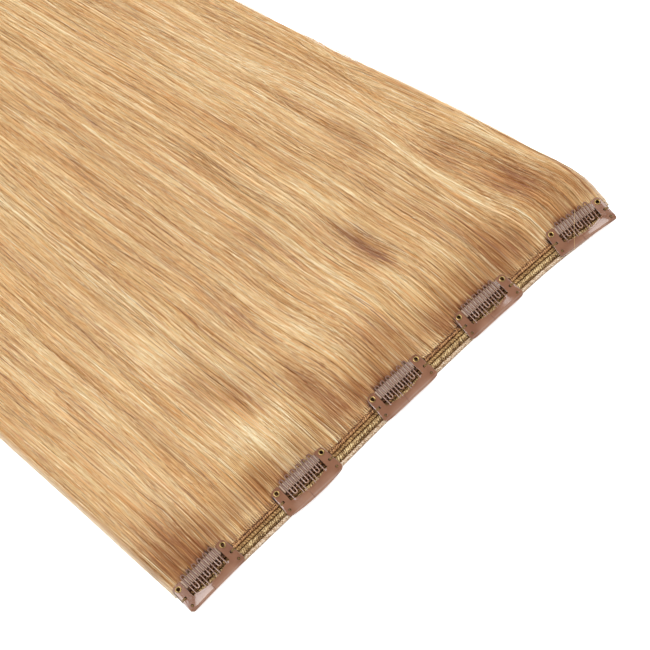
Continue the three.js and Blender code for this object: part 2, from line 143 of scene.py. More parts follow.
# Each fold: its place x and y, how far it runs in x and in y, and how deep it falls.
folds = (
    (-124, 20, 17, 16, 0.8), (-72, 13, 7, 11, 0.7), (-98, 14, 6, 8, -0.35), (-67, 66, 8, 13, 0.45),
    (-54, 48, 8, 14, 0.5),
    (-62, 31, 17, 9, -0.75), (-84, 46, 8, 18, -0.6), (-28, 30, 8, 17, 0.75), (-14, 14, 14, 9, 0.5),
    (-12, 52, 12, 10, -0.5), (12, 27, 10, 9, 0.6), (14, 60, 8, 14, -0.4), (42, 12, 9, 8, 0.7),
    (36, 42, 11, 8, -0.55), (37, 61, 6, 15, 0.8), (27, 86, 6, 12, 0.3), (60, 18, 9, 9, 0.5),
    (84, 22, 10, 14, 0.75), (112, 38, 9, 15, 1.0), (100, 72, 8, 9, 0.6), (128, 26, 8, 9, 0.5),
    (-70, 92, 9, 15, -0.5), (-36, 84, 12, 8, 0.35), (42, 98, 15, 10, -0.4), (118, 74, 8, 10, -0.4),
    (-118, 62, 10, 10, -0.3), (-100, 88, 7, 14, -0.3), (2, 100, 10, 9, 0.3), (70, 108, 8, 12, 0.3),
    (-62, 8, 9, 5, -0.55), (119, 8, 9, 5, -0.4), (-121, 8, 10, 5, 0.2),
)


def fold_fall(x, y):
    """How far the hair falls into the dips behind the clips; below zero on a crest."""
    fall = 0
    for fold_x, fold_y, run_x, run_y, depth in folds:
        aside = x - fold_x + 0.14 * (y - fold_y)
        fall = fall + depth * np.exp(-((aside / run_x) ** 2) - ((y - fold_y) / run_y) ** 2)
    return fall


def near_clip(x):
    closest = np.min([np.abs(x - clip_x) for _, clip_x, _, _ in clips], axis=0)
    t = np.clip((closest - 16) / 5, 0, 1)
    return 1 - t * t * (3 - 2 * t)


def hair_height(across, distance):
    """Height of the hair's upper surface, in millimetres."""
    x, y = strand_x(across, distance), strand_y(across, distance)
    clear = near_clip(x)
    depth = hair_depth(distance) * (1 - clear) + clip_depth(np.minimum(distance, 47)) * clear
    depth = np.where(distance > 47, hair_depth(distance), depth)
    past = np.clip((distance - 10) / 30, 0, 1)
    waves = 0.75 * swell_waves(x, y) + 0.42 * lock_waves(x, y) + 0.15 * fine_waves(x, y)
    depth = depth + past * waves * np.clip(depth / 6, 0, 1)
    depth = depth - 1.5 * past * fold_fall(x, y)
    half = 0.5 * (strand_x(1.0, distance) - strand_x(-1.0, distance))
    edge = np.clip((1 - np.abs(across)) * half / 7, 0, 1)
    return np.maximum(depth, 0.5) * (0.1 + 0.9 * np.sin(np.pi / 2 * edge))


class Wire:
    """The output of a material's node, so that sums of outputs are written as plain sums."""

    def __init__(self, tree, socket=None):
        self.tree, self.socket = tree, socket

    def node(self, kind, settings=None, inputs=None, out=0):
        new = self.tree.nodes.new("ShaderNode" + kind)
        for name, value in (settings or {}).items():
            if name == "stops":
                ramp = new.color_ramp.elements
                while len(ramp) < len(value):
                    ramp.new(0.5)
                for stop, (place, colour) in zip(ramp, value):
                    stop.position, stop.color = place, (*colour, 1)
            else:
                setattr(new, name, value)
        for name, value in (inputs or {}).items():
            if isinstance(value, Wire):
                self.tree.links.new(value.socket, new.inputs[name])
            else:
                new.inputs[name].default_value = value
        return Wire(self.tree, new.outputs[out])

    def math(self, operation, *values):
        return self.node("Math", {"operation": operation}, dict(enumerate(values)))

    def __add__(self, other):
        return self.math("ADD", self, other)

    def __mul__(self, other):
        return self.math("MULTIPLY", self, other)

    def __sub__(self, other):
        return self.math("SUBTRACT", self, other)

    def __rsub__(self, other):
        return self.math("SUBTRACT", other, self)

    __radd__ = __add__
    __rmul__ = __mul__

    def clamp(self, low, high):
        return self.math("MINIMUM", self.math("MAXIMUM", self, low), high)

    def tint(self, factor, colour, blend="MIX"):
        settings = {"data_type": "RGBA", "blend_type": blend}
        return self.node("Mix", settings, {0: factor, 6: self, 7: colour}, out=2)

    def place(self, scale):
        spot = self.node("TexCoord", out=3)
        return self.node("Mapping", None, {"Vector": spot, "Scale": scale})

    def noise(self, scale, detail=2.0, rough=0.5):
        inputs = {"Vector": self.place(scale), "Scale": 1.0, "Detail": detail, "Roughness": rough}
        return self.node("TexNoise", None, inputs)


def new_finish(name, **values):
    material = bpy.data.materials.new(name)
    material.use_nodes = True
    shader = material.node_tree.nodes["Principled BSDF"]
    for socket, value in values.items():
        shader.inputs[socket.replace("_", " ")].default_value = value
    return material, shader, Wire(material.node_tree)


def feed(shader, socket, wire):
    shader.id_data.links.new(wire.socket, shader.inputs[socket])


def rgb(r, g, b):
    """A colour as seen on a screen, from 0 to 255, as the light it stands for."""
    return tuple(((c / 255 + 0.055) / 1.055) ** 2.4 if c > 10 else c / 255 / 12.92 for c in (r, g, b))


hair_tones = (
    (0.0, rgb(130, 78, 36)), (0.2, rgb(172, 116, 60)), (0.42, rgb(202, 155, 97)),
    (0.65, rgb(222, 185, 129)), (0.85, rgb(235, 209, 158)), (1.0, rgb(244, 228, 188)),
)

hair_finish, shader, wire = new_finish("golden_blonde_hair", Roughness=0.4, Specular_IOR_Level=0.45)


def along_hair(across, along, depth, detail=1.0):
    """Streaks that follow the hair: cells per millimetre across it, along it and by layer."""
    flow = wire.node("Attribute", {"attribute_name": "flow"}, out=1)
    cells = wire.node("Mapping", None, {"Vector": flow, "Scale": (across, along, depth)})
    return wire.node("TexNoise", None, {"Vector": cells, "Scale": 1.0, "Detail": detail, "Roughness": 0.55})


# The tone attribute holds each strand's own tone of blonde, shifted by painted shade in the dips and painted highlight
# on the crests.
tone = wire.node("Attribute", {"attribute_name": "tone"}, out=2)
lock = along_hair(0.13, 0.009, 0.0)
band = along_hair(0.45, 0.012, 0.4)
streak = along_hair(2.8, 0.018, 5.0, 2.0)
tone = tone + (lock - 0.5) * 0.75 + (band - 0.5) * 0.7 + (streak - 0.5) * 1.35
colour = wire.node("ValToRGB", {"stops": hair_tones}, {0: tone.clamp(0, 1)})
gold = along_hair(0.3, 0.014, 2.0)
colour = colour.tint(((gold - 0.52) * 3).clamp(0, 0.6), (*rgb(222, 158, 88), 1))
colour = colour.tint(((0.46 - gold) * 3).clamp(0, 0.4), (*rgb(205, 183, 144), 1))
# Painted shade: the shade attribute, broken into streaks, browns the hair in the dips, in a belt near the weft and
# along the parting, and darkens it almost to black under the clips.
shade = wire.node("Attribute", {"attribute_name": "shade"}, out=2)
streaky = 0.4 + ((streak - 0.5) * -3 + 0.6).clamp(0, 1.2)
colour = colour.tint((shade * streaky).clamp(0, 1), (*rgb(142, 82, 36), 1))
colour = colour.tint((shade - 1).clamp(0, 1), (*rgb(44, 22, 7), 1))
rim = wire.node("Attribute", {"attribute_name": "rim"}, out=2)
colour = colour.tint(rim.clamp(0, 1) * 0.75, (*rgb(240, 226, 204), 1))
feed(shader, "Base Color", colour)
feed(shader, "Normal", wire.node("Bump", None, {"Strength": 0.35, "Distance": 0.0002, "Height": streak}))


root_waves = ripple(15, 7, 40)


def dip_shade(x, y):
    """Painted shade on the hair: brown in the dips and in a belt near the weft, dark brown under a clip."""
    shade = np.clip(0.62 * fold_fall(x, y), 0, 1)
    belt = np.clip((26 - y) / 14, 0, 1) * (1 - 0.85 * np.clip((13 - y) / 5, 0, 1))
    shade = shade + 0.4 * belt * (1 + 0.5 * root_waves(x, y))
    for _, clip_x, clip_y, turn in clips:
        along = (x - clip_x) * math.cos(turn) + (y - clip_y) * math.sin(turn)
        past = (y - clip_y) * math.cos(turn) - (x - clip_x) * math.sin(turn)
        reach = np.where(np.abs(along) < 10.3, 2.8, 1.5)
        aside = np.abs(along) - 15.9 - 0.07 * (2.2 - past) - np.where(along < 0, 0.9, -0.1)
        shade = shade + 1.9 * np.clip(-aside / 0.7, 0, 1) * np.clip((reach - past) / 0.65, 0, 1)
    return shade


def parting(across, distance):
    """Painted shade: the thin brown line in the crease along which the hair by the right edge parts from the rest."""
    inset = (1 - across) * 0.5 * (strand_x(1.0, distance) - strand_x(-1.0, distance))
    near = np.clip((distance - 4) / 4, 0, 1) * np.clip((70 - distance) / 25, 0, 1)
    return 0.75 * near * np.exp(-(((inset - 3.4 - 0.5 * np.sin(distance / 9)) / 0.55) ** 2))


def rim_light(across, distance):
    """How much the light through the hair's thin side edges pales them."""
    half = 0.5 * (strand_x(1.0, distance) - strand_x(-1.0, distance))
    return np.clip(1 - (1 - np.abs(across)) * half / 2.6, 0, 1) ** 1.2


def new_piece(name, points, faces, material, values=None):
    mesh = bpy.data.meshes.new(name)
    mesh.from_pydata(points, [], faces)
    mesh.materials.append(material)
    for key, numbers in (values or {}).items():
        numbers = np.asarray(numbers, np.float32)
        kind, slot = ("FLOAT_VECTOR", "vector") if numbers.shape[-1] == 3 else ("FLOAT", "value")
        mesh.attributes.new(key, kind, "POINT").data.foreach_set(slot, numbers.ravel())
    mesh.polygons.foreach_set("use_smooth", np.ones(len(mesh.polygons), bool))
    mesh.update()
    piece = bpy.data.objects.new(name, mesh)
    bpy.context.scene.collection.objects.link(piece)
    return piece


columns, rows = 260, 72
across = np.linspace(-0.998, 0.998, columns)[None, :] * np.ones((rows, 1))
distance = (hair_length - 14) * np.linspace(0, 1, rows)[:, None] ** 1.5 * np.ones((1, columns))
mass_x, mass_y = strand_x(across, distance), strand_y(across, distance)
mass_z = np.maximum(hair_height(across, distance) - 0.55, 0.25)
# Painted highlight and shade on the body: lighter on the crests and darker in the dips, browned as on the strands, a
# little darker all over beneath them, and darker at the roots where it shows between the bundles, less so at the lit
# side edges.
tone_lines = 0.5 - 0.3 * fold_fall(mass_x, mass_y)
root_shade = np.clip(1.8 - distance / 6, 0, 1.3) * (1 - rim_light(across, distance))
mass_shade = dip_shade(mass_x, mass_y) + parting(across, distance) + 0.12 + root_shade
flow = np.stack([across * weft_length / 2, distance, 0 * distance], -1).reshape(-1, 3)
upper = np.stack([mass_x, mass_y, mass_z], -1).reshape(-1, 3) * mm
lower = np.stack([mass_x, mass_y, np.full_like(mass_z, 0.02)], -1).reshape(-1, 3) * mm
index = np.arange(rows * columns).reshape(rows, columns)
quads = np.stack([index[:-1, :-1], index[:-1, 1:], index[1:, 1:], index[1:, :-1]], -1).reshape(-1, 4)
under = quads[:, ::-1] + rows * columns
rim = np.concatenate([index[0, ::-1], index[1:, 0], index[-1, 1:], index[-2:0:-1, -1]])
side = np.stack([rim, np.roll(rim, -1), np.roll(rim, -1) + rows * columns, rim + rows * columns], -1)
hair_body = new_piece(
    "hair_body", np.concatenate([upper, lower]), np.concatenate([quads, under, side]).tolist(), hair_finish,
    {
        "tone": np.tile(tone_lines.ravel(), 2), "shade": np.tile(mass_shade.ravel(), 2),
        "flow": np.tile(flow, (2, 1)), "rim": np.tile(rim_light(across, distance).ravel(), 2),
    },
)
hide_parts("hair")
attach(hair_body, "weft_and_hair")


# The strands: thin flat ribbons of hair that lie over the body in several layers. Each runs its
# own way, in soft waves that its neighbours share, and dives under the others at its ends.
flow_wide = ripple(21, 60, 110)
bundle_pitch = 1.05
# Each swerve: its place x and y, how wide and how long it is, and its shift to the side.
swerves = (
    (-20, 40, 13, 11, -3.4), (0, 46, 13, 12, -2.0), (-60, 44, 12, 9, 1.5), (-60, 76, 13, 11, -2.2),
    (20, 88, 11, 13, -1.8), (40, 58, 10, 8, -2.0), (60, 54, 11, 12, -1.6), (100, 34, 13, 12, -3.6),
    (100, 63, 12, 10, -2.6), (-42, 140, 14, 20, -3.6), (-112, 66, 12, 12, 1.4), (120, 44, 8, 9, -1.2),
)


def swerve(x, y):
    """How far the strands past a place have swung aside there, in millimetres."""
    aside = 0
    for turn_x, turn_y, run_x, run_y, shift in swerves:
        near = np.exp(-(((x - turn_x) / run_x) ** 2))
        aside = aside + shift * near * (0.5 + 0.5 * np.tanh((y - turn_y) / run_y))
    return aside


def lay_strands(name, count, seed, reach, width, sink, steps, from_root, spread, float_up=0.0):
    rng = np.random.default_rng(seed)
    flow_lock, flow_fine = ripple(seed + 100, 15, 62), ripple(seed + 200, 4.5, 40)
    one = lambda low, high: rng.uniform(low, high, count)[:, None]
    across, share, length = one(-1, 1), np.linspace(0, 1, steps)[None, :], one(*reach)
    if from_root:
        first = np.full((count, 1), 2.0)
        share = share ** 1.7
    else:
        first = one(4, hair_length - 60)
    distance = np.minimum(first + length * share, hair_length * one(0.955, 1.0))
    free = np.clip((distance - 2) / 34, 0, 1)
    x, y = strand_x(across, distance), strand_y(across, distance)
    reach_x = np.clip(1 - np.abs(x - 15) / 95, 0, 1) * np.clip((160 - y) / 60, 0, 1)
    wave = -1.15 * np.sin((y - 52 + 9 * flow_wide(x, 0 * y)) / 9.9) * reach_x
    sway = wave + swerve(x, y) + 2.4 * flow_wide(x, y) + 1.5 * flow_lock(x, y) + 0.45 * flow_fine(x, y)
    wander = spread * rng.normal(0, 1, count)[:, None] * (distance - first)
    for size, short, long in ((0.65, 12, 28), (0.2, 4, 8)):
        turns, phase = one(short, long), one(0, 6.3)
        wander = wander + size * rng.normal(0, 1, count)[:, None] * np.sin(distance / turns + phase)
    x = x + free * (sway + wander)
    low, high = strand_x(-1 + 0 * across, distance), strand_x(1 + 0 * across, distance)
    x = np.clip(x, low + 0.1, high - 0.1)
    place = across + 2 * (x - strand_x(across, distance)) / (high - low)
    place = np.clip(place, -1, 1)
    layer = one(0, 1)
    cover = sink * layer - float_up * np.sin(np.pi * share)
    if not from_root:
        cover = cover + 1.3 * (np.clip(1 - 6 * share, 0, 1) + np.clip(6 * share - 5, 0, 1))
    z = np.maximum(hair_height(place, distance) - cover + 0.12 * rng.normal(0, 1, count)[:, None], 0.1)
    root = np.round(x / bundle_pitch) * bundle_pitch
    gather = np.clip(1 - (distance - 2) / 7, 0, 1) * 0.8 * from_root
    x = x * (1 - gather) + (root + 0.12 * (x - root)) * gather
    z = z - gather * 0.4 * np.abs(x - root)
    path = np.stack([x, y, z], -1)
    along = np.gradient(path, axis=1)
    along /= np.linalg.norm(along, axis=-1, keepdims=True)
    roll = rng.normal(0, 0.45, count)[:, None]
    flat = np.cross(along, np.array([0.0, 0.0, 1.0]))
    flat /= np.linalg.norm(flat, axis=-1, keepdims=True)
    side = flat * np.cos(roll)[..., None] + np.cross(flat, along) * np.sin(roll)[..., None]
    taper = np.clip(0.25 + 6 * np.minimum(share + 0.1 * from_root, 1 - share), 0, 1)
    breadth = one(*width) * taper
    edge = side * (0.5 * breadth)[..., None]
    points = np.stack([path - edge, path + edge], 2).reshape(-1, 3) * mm
    corner = (np.arange(count)[:, None] * steps + np.arange(steps - 1)[None, :]).ravel() * 2
    faces = np.stack([corner, corner + 1, corner + 3, corner + 2], -1)
    tone = rng.normal(0.54, 0.15, count)[:, None]
    kind = one(0, 1)
    tone = np.where(kind < 0.13, tone - 0.34, np.where(kind > 0.9, tone + 0.24, tone))
    bundle = np.random.default_rng(8).uniform(-0.32, 0.32, 400)[(root / bundle_pitch).astype(int) + 200]
    # Painted highlight and shade: strands lighter on the crests and darker in the dips, each bundle near the root with
    # its own tone; the shade browns them as on the body, and more in the lower layers.
    tone = tone - 0.36 * fold_fall(x, y) * one(0.5, 1.5) + bundle * np.clip(1 - (distance - 2) / 16, 0, 1)
    shade = dip_shade(x, y) * one(0.35, 1.45) + parting(place, distance) + 0.2 * layer * sink
    spot = np.stack([place * weft_length / 2, distance, 10 * layer + seed + 0 * distance], -1)
    half = np.stack([0.5 * breadth, 0 * breadth, 0 * breadth], -1)
    return new_piece(
        name, points, faces.tolist(), hair_finish,
        {
            "tone": np.repeat(tone, 2, axis=1), "shade": np.repeat(shade, 2, axis=1),
            "flow": np.stack([spot - half, spot + half], 2), "rim": np.repeat(rim_light(place, distance), 2, axis=1),
        },
    )


# Each layer: name, count, seed, length, width, sink, steps, whether it starts at the root, spread,
# and how far its middle floats up.
strand_layers = (
    ("root_strands_lower", 3300, 31, (392, 400), (0.3, 0.56), 0.9, 28, True, 0.014),
    ("root_strands_upper", 3300, 32, (300, 400), (0.18, 0.36), 0.45, 28, True, 0.022),
    ("strands_lower", 5400, 33, (90, 200), (0.18, 0.34), 0.5, 17, False, 0.05),
    ("strands_upper", 5400, 34, (70, 180), (0.12, 0.24), 0.15, 17, False, 0.08),
    ("stray_hairs", 700, 35, (40, 130), (0.1, 0.17), 0.0, 14, False, 0.12, 0.8),
)
for settings in strand_layers:
    strands = lay_strands(*settings)
    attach(strands, "weft_and_hair")


# One hair has come loose and lies across the last clip: a single thin ribbon.
loose_path = (
    (122.3, 8.9, 6.2), (118.9, 5.6, 5.7), (115.2, 2.2, 5.2), (111.7, -1.4, 5.1), (109.2, -4.0, 5.1), (107.9, -5.4, 4.8),
)
stations, dense = np.arange(len(loose_path)), np.linspace(0, len(loose_path) - 1, 25)
line = np.stack([smooth_curve(stations, axis)(dense) for axis in zip(*loose_path)], -1)
along = np.gradient(line, axis=0)
sideways = np.stack([-along[:, 1], along[:, 0], 0 * dense], -1)
sideways *= 0.055 / np.linalg.norm(sideways, axis=1, keepdims=True)
points = np.stack([line + sideways, line - sideways], 1).reshape(-1, 3)
loose = new_piece(
    "loose_hair", points * mm, [(i, i + 1, i + 3, i + 2) for i in range(0, 48, 2)], hair_finish,
    {"tone": np.full(50, 0.62), "shade": np.zeros(50), "flow": np.zeros((50, 3)), "rim": np.zeros(50)},
)
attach(loose, "weft_and_hair")


# The weft: three sewn rows side by side, and behind them the band where the hair is gathered.
# Hair is folded into each and stitched across, so that the rows swell between their stitches.
def row_finish(name, deep, body, glint, dotted):
    material, shader, wire = new_finish(name, Roughness=0.6, Specular_IOR_Level=0.25)
    lump = wire.node("Attribute", {"attribute_name": "lump"}, out=2)
    speck = wire.noise((1700, 1500, 1200), 3, 0.7)
    # The lump value lights each stitch lump: its top pales to the glint colour as a painted highlight, and the hollows
    # between stitches fall to the deep colour as painted shade; the speck noise scatters light and dark flecks.
    shade = lump * 0.9 + (speck - 0.5) * 2.9 + 0.02
    seat = wire.node("Attribute", {"attribute_name": "seat"}, out=1)
    along, aside = [wire.node("SeparateXYZ", None, {"Vector": seat}, out=axis) for axis in (0, 1)]
    # Painted shade in the pits along each dotted line of stitches.
    for line, reach, pitch, depth in dotted:
        off = (aside - line) * (1 / reach)
        beat = 0.55 + 0.45 * wire.math("SINE", along * (2 * math.pi / pitch) + aside * 2.0 + speck * 2.5)
        shade = shade - depth * (1 - off * off).clamp(0, 1) * beat
    shade = shade.clamp(0, 1)
    feed(shader, "Base Color", wire.node("ValToRGB", {"stops": ((0.0, deep), (0.45, body), (0.95, glint))}, {0: shade}))
    bump = wire.node("Bump", None, {"Strength": 0.6, "Distance": 0.0002, "Height": speck})
    feed(shader, "Normal", bump)
    return material


def under_clips(x, y):
    """How much light reaches the weft through a clip's windows: least of all by the sleeve."""
    light = 1.0
    for _, clip_x, clip_y, turn in clips:
        along = np.abs((x - clip_x) * math.cos(turn) + (y - clip_y) * math.sin(turn))
        past = (y - clip_y) * math.cos(turn) - (x - clip_x) * math.sin(turn)
        dusk = 0.92 * np.clip((past + 6.6) / 1.6, 0.25, 1)
        light = light - dusk * np.clip((17.2 - along) / 0.6, 0, 1)
    return light


# Each row: its node, centre, width, height, stitch pitch and slant, three colours (painted shade
# in the hollows, the row's own colour, painted highlight on the lumps), and its dotted lines of
# stitches as place across the row, reach, pitch and depth.
weft_rows = (
    (
        "weft_root_binding", 4.78, 2.9, 3.05, 1.05, -0.35,
        rgb(56, 24, 4), rgb(152, 104, 62), rgb(220, 172, 120),
        ((1.05, 0.4, 1.05, 1.0), (0.2, 0.35, 1.05, 0.9), (-1.2, 0.35, 2.1, 0.5)),
    ),
    (
        "weft_row_inner", 2.4, 2.1, 2.85, 1.4, 0.5,
        rgb(52, 26, 6), rgb(134, 96, 54), rgb(206, 168, 112), ((-0.95, 0.3, 1.6, 0.7),),
    ),
    (
        "weft_row_middle", 0.0, 3.0, 3.1, 1.1, -0.45,
        rgb(60, 34, 12), rgb(160, 124, 78), rgb(236, 212, 160), ((-0.75, 0.45, 1.3, 0.5),),
    ),
    (
        "weft_row_edge", -2.45, 2.2, 2.66, 1.05, 0.8,
        rgb(112, 76, 44), rgb(196, 166, 132), rgb(242, 228, 208), ((0.85, 0.5, 1.3, 0.8),),
    ),
)
for node, centre, width, height, pitch, slant, deep, body, glint, dotted in weft_rows:
    rng = np.random.default_rng(int(centre * 100) + 400)
    x = np.linspace(-weft_length / 2, weft_length / 2 - 2.4, 1150)[:, None]
    angle = np.linspace(-0.12 * np.pi, 1.12 * np.pi, 11)[None, :]
    out, up = -np.cos(angle), np.maximum(np.sin(angle), 0)
    phase = (x + slant * out * width / 2 + 0.45 * ripple(41, 3.0, 50)(x, 0 * x)) / pitch
    stitch = np.floor(phase + 0.5).astype(int)
    lump = np.abs(np.cos(np.pi * phase)) ** 0.7 * rng.uniform(0.55, 1, 600)[stitch + 300]
    # Painted shade on the rows: their flanks darker than their tops, the edge row's inner side darker, and the weft
    # dark under the clips' windows.
    edge_dusk = 0.3 * np.clip(out, 0, 1) if node == "weft_row_edge" else 0
    flank = 0.6 if node == "weft_root_binding" else 0.12
    swell = 0.82 + 0.18 * lump
    row_y = weft_y(x) + centre + 0.5 * width * np.sign(out) * np.abs(out) ** 0.8 * (0.9 + 0.1 * lump)
    row_z = height * np.minimum(1, 0.45 + 0.55 * up ** 0.6) * swell * np.where(up > 0, 1, 0)
    points = np.stack([x + 0 * row_y, row_y, row_z], -1).reshape(-1, 3) * mm
    index = np.arange(points.shape[0]).reshape(row_y.shape)
    faces = np.stack([index[:-1, :-1], index[1:, :-1], index[1:, 1:], index[:-1, 1:]], -1).reshape(-1, 4).tolist()
    nxt = np.stack([index[:-1, -1], index[1:, -1], index[1:, 0], index[:-1, 0]], -1).tolist()
    caps = [index[0].tolist(), index[-1, ::-1].tolist()]
    row = new_piece(
        node + "_sewn", points, faces + nxt + caps, row_finish(node + "_hair", deep, body, glint, dotted),
        {
            "lump": lump * (flank + (1 - flank) * up ** 0.8) * under_clips(x, row_y) - edge_dusk,
            "seat": np.stack([x + 0 * out, 0.5 * width * out + 0 * x, 0 * x + 0 * out], -1),
        },
    )
    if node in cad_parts:
        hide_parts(node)
    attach(row, "weft_and_hair")


# The snap clips: each a stamped and painted steel plate. Two end tabs and an arched band make
# its frame, and a comb of twelve bent wires stands in the middle.
plate_bottom, plate_thick, bow, bow_half = 3.22, 0.5, 0.95, 16.9
comb_half, notch, tab_inner, tab_outer = 9.765, 10.065, 11.315, 15.9
seam_x = -2.38
roll_start, roll_end, roll_run = -9.6, -12.6, 3.1


def bow_at(x):
    """Rise of the sprung middle: round at its crown, straight from there to the tabs."""
    round_part = min(abs(x), 6.5)
    return bow - 0.0039 * round_part ** 2 - 0.05 * max(abs(x) - 6.5, 0)


def frame_rise(x, y):
    """Rise of the frame: bowed between its creases, with its right half lapped over its left."""
    crease = notch + 0.75 * max(-6.9 - y, 0)
    lap = 0 if x <= seam_x else max(0.18 * (1 - (x - seam_x) / (notch - seam_x)), 0)
    return bow_at(min(abs(x), crease)) + lap


def band_inner(x):
    return -6.9 - 1.6 * (1 - (min(abs(x), comb_half) / comb_half) ** 2)


def band_outer(x):
    return -6.9 - 1.6 - 4.2 * (1 - 0.22 * (x / bow_half) ** 2)


def rounded(corners):
    """A closed outline whose corners carry the size of their rounding."""
    outline = []
    for i, (x, y, soft) in enumerate(corners):
        if not soft:
            outline.append((x, y))
            continue
        here = Vector((x, y))
        before = Vector(corners[i - 1][:2]) - here
        after = Vector(corners[(i + 1) % len(corners)][:2]) - here
        start, end = here + before.normalized() * soft, here + after.normalized() * soft
        for t in np.linspace(0, 1, 9):
            outline.append(tuple(start * (1 - t) ** 2 + here * 2 * t * (1 - t) + end * t * t))
    return outline


def ring(x, y, radius, sides=20):
    turns = [2 * math.pi * i / sides for i in range(sides)]
    return [(x + radius * math.cos(a), y + radius * math.sin(a)) for a in turns]


def flat_plate(outlines, thickness, edge):
    """Cuts a sheet with rounded edges from outlines in millimetres: the rim first, then holes."""
    bpy.ops.object.select_all(action="DESELECT")
    curve = bpy.data.curves.new("plate", "CURVE")
    curve.dimensions, curve.fill_mode = "2D", "BOTH"
    curve.extrude, curve.bevel_depth, curve.bevel_resolution = thickness / 2 - edge, edge, 1
    for outline in outlines:
        spline = curve.splines.new("POLY")
        spline.points.add(len(outline) - 1)
        spline.points.foreach_set("co", [c for x, y in outline for c in (x, y, 0, 1)])
        spline.use_cyclic_u = True
    sheet = bpy.data.objects.new("plate", curve)
    bpy.context.scene.collection.objects.link(sheet)
    sheet.select_set(True)
    bpy.context.view_layer.objects.active = sheet
    bpy.ops.object.convert(target="MESH")
    return sheet


def cut_across(sheet, stations, rungs=()):
    """Cuts a flat sheet along lines of equal X and of equal Y, so that it can follow a bend."""
    bpy.context.view_layer.objects.active = sheet
    bpy.ops.object.mode_set(mode="EDIT")
    for place, normal in [((x, 0, 0), (1, 0, 0)) for x in stations] + [((0, y, 0), (0, 1, 0)) for y in rungs]:
        bpy.ops.mesh.select_all(action="SELECT")
        bpy.ops.mesh.bisect(plane_co=place, plane_no=normal)
    bpy.ops.mesh.select_all(action="SELECT")
    bpy.ops.mesh.remove_doubles(threshold=0.001)
    bpy.ops.object.mode_set(mode="OBJECT")


right_tab = rounded([
    (13.5, band_outer(13.5), 0), (bow_half, band_outer(bow_half), 2.1), (tab_outer, 2.2, 1.9),
    (tab_inner, 2.2, 0.76), (tab_inner + 0.2, -6.9, 0.5), (notch, -6.9, 0), (notch, band_inner(notch) - 0.9, 0),
])
left_tab = [(-x, y) for x, y in reversed(right_tab)]
lower_edge = [(x, band_outer(x)) for x in np.linspace(-12.5, 12.5, 27)]
upper_edge = [(x, band_inner(x) - 0.9) for x in np.linspace(9.6, -9.6, 27)]
rim = lower_edge + right_tab + upper_edge + left_tab
tab_holes = ((14, 0, 1.15), (14.5, -4.97, 0.8), (14.7, -9.5, 0.8))
holes = [ring(side * x, y, r, 16) for side in (-1, 1) for x, y, r in tab_holes]
frame_sheet = flat_plate([rim] + holes, plate_thick, 0.12)
seam_cuts = [seam_x - 0.12, seam_x, seam_x + 0.12, seam_x + 0.24]
cut_across(frame_sheet, [*np.linspace(-16, 16, 33), *seam_cuts], np.linspace(roll_start, roll_end, 13))
frame_mesh = frame_sheet.data
# Painted reflection: the band is paled towards its outer rim as a sheen; the lap seam is marked as a dark joint.
pale = []
for vertex in frame_mesh.vertices:
    x, y, z = vertex.co
    rim_sheen = 0.55 * min(max((-8.3 - y) / 3.6, 0), 1) * min(max((13.5 - abs(x)) / 3, 0), 1)
    pale.append(-1.0 if abs(x - seam_x - 0.06) < 0.08 and y < -7 else rim_sheen)
frame_mesh.attributes.new("pale", "FLOAT", "POINT").data.foreach_set("value", pale)


def rolled_frame(turned, stretch, power):
    """A bowed frame whose band rolls down towards its outer rim, more and more steeply."""
    run = np.linspace(0, 1.35, 55)
    tilt = np.minimum(turned * run ** power, 2.4)
    out = np.concatenate([[0], np.cumsum(np.cos((tilt[1:] + tilt[:-1]) / 2)) * run[1]]) * roll_run
    down = np.concatenate([[0], np.cumsum(np.sin((tilt[1:] + tilt[:-1]) / 2)) * run[1]]) * roll_run
    bent = frame_mesh.copy()
    for vertex in bent.vertices:
        x, y, z = vertex.co
        z, rise = z + plate_thick / 2, plate_bottom + frame_rise(x, y)
        part = (roll_start - y) / roll_run * (stretch - 0.4 * (stretch - 1) * abs(x) / 8)
        if part > 0:
            at = [float(np.interp(part, run, table)) for table in (tilt, out, down)]
            y, z = roll_start - at[1] - z * math.sin(at[0]), z * math.cos(at[0]) - at[2]
        vertex.co = (x, y, z + rise)
    return bent


paint, shader, wire = new_finish(
    "rose_brown_paint", Specular_IOR_Level=0.6, Coat_Roughness=0.05,
)
cloud = wire.noise((160, 160, 160), 2)
grain = wire.noise((2600, 2600, 2600), 2, 0.6)
colour = wire.node("ValToRGB", {"stops": ((0.3, rgb(122, 78, 54)), (0.75, rgb(140, 96, 70)))}, {0: cloud})
pale = wire.node("Attribute", {"attribute_name": "pale"}, out=2)
# The pale attribute: above zero a painted sheen on the band's rim and a painted highlight on the lower legs; below zero
# the dark seam joint and painted shade on the upper legs.
colour = colour.tint(pale.clamp(0, 1) * 0.4, (*rgb(206, 170, 148), 1))
colour = colour.tint((0 - pale).clamp(0, 1) * 0.6, (*rgb(92, 54, 40), 1))
feed(shader, "Base Color", colour)
dull = (0 - pale).clamp(0, 1)
feed(shader, "Roughness", 0.07 + grain * 0.06 + dull * 0.45)
feed(shader, "Coat Weight", 0.35 * (1 - dull))
feed(shader, "Normal", wire.node("Bump", None, {"Strength": 0.12, "Distance": 0.00005, "Height": grain}))


